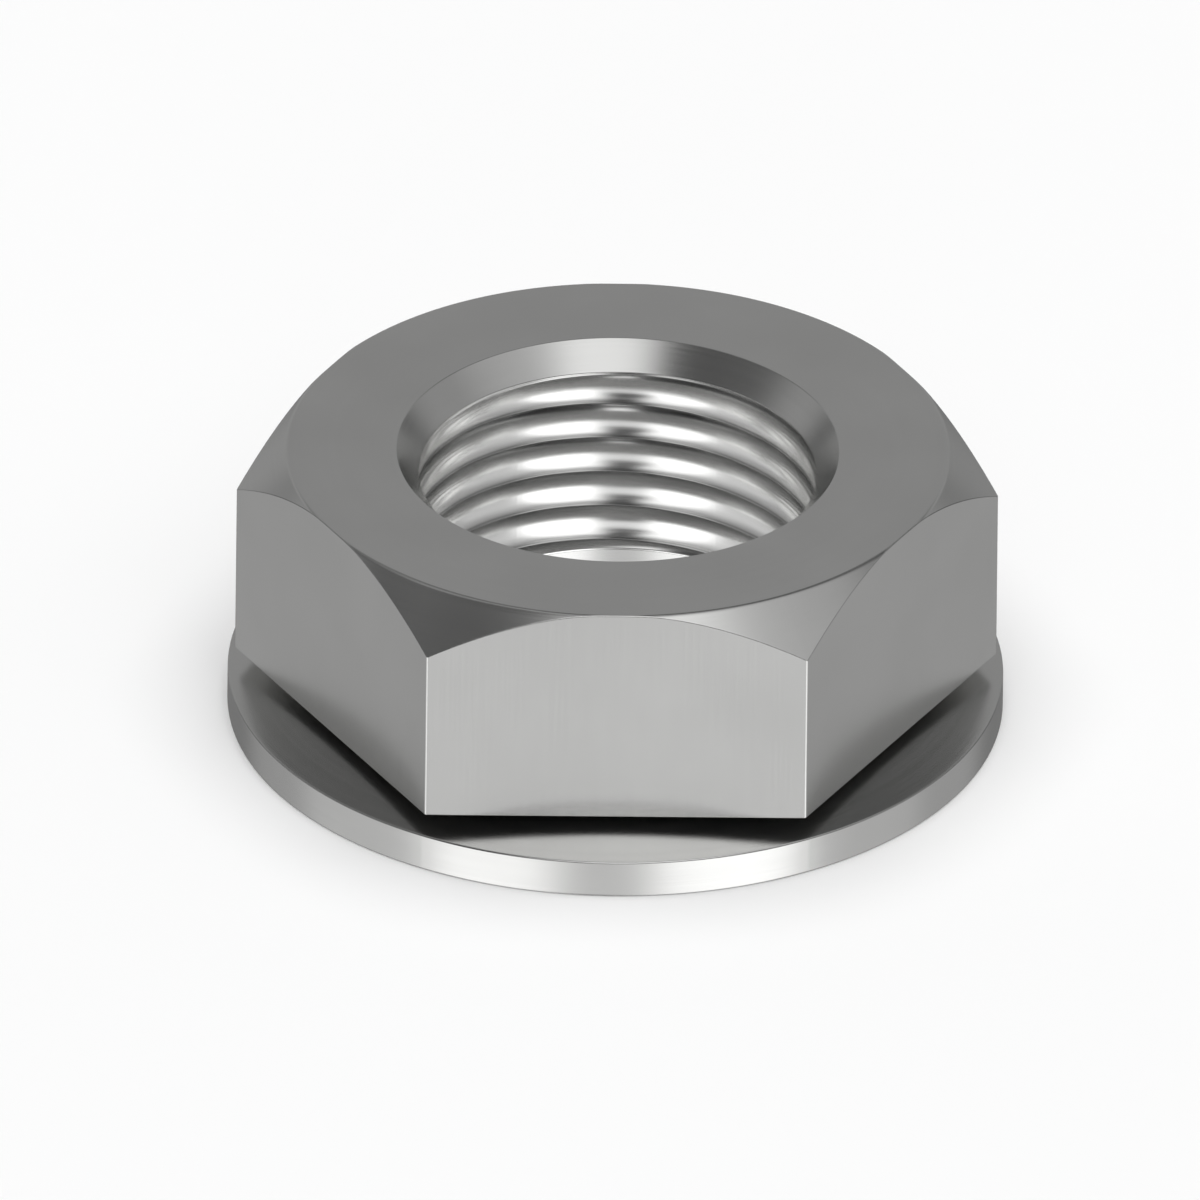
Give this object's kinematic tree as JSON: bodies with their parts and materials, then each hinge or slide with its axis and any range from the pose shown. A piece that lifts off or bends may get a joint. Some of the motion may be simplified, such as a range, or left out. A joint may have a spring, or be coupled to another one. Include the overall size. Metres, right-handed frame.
{
  "type": "flange jam nut",
  "caption": "Thin hexagon nut with chamfered corners on a shallow round flange, and a countersunk fine-thread bore with a plain relief at the bearing face.",
  "frame": {"origin": "centre of the round bearing face that the nut rests on", "axes": "+Z along the thread axis from the flange to the hexagon's top face, flats facing -Y and +Y, corners on -X and +X"},
  "size_m": [0.028, 0.028, 0.0105],
  "materials": {
    "steel": "satin turned steel, plain and unplated"
  },
  "bodies": {
    "root": {"flange_jam_nut": "steel"}
  },
  "joints": []
}
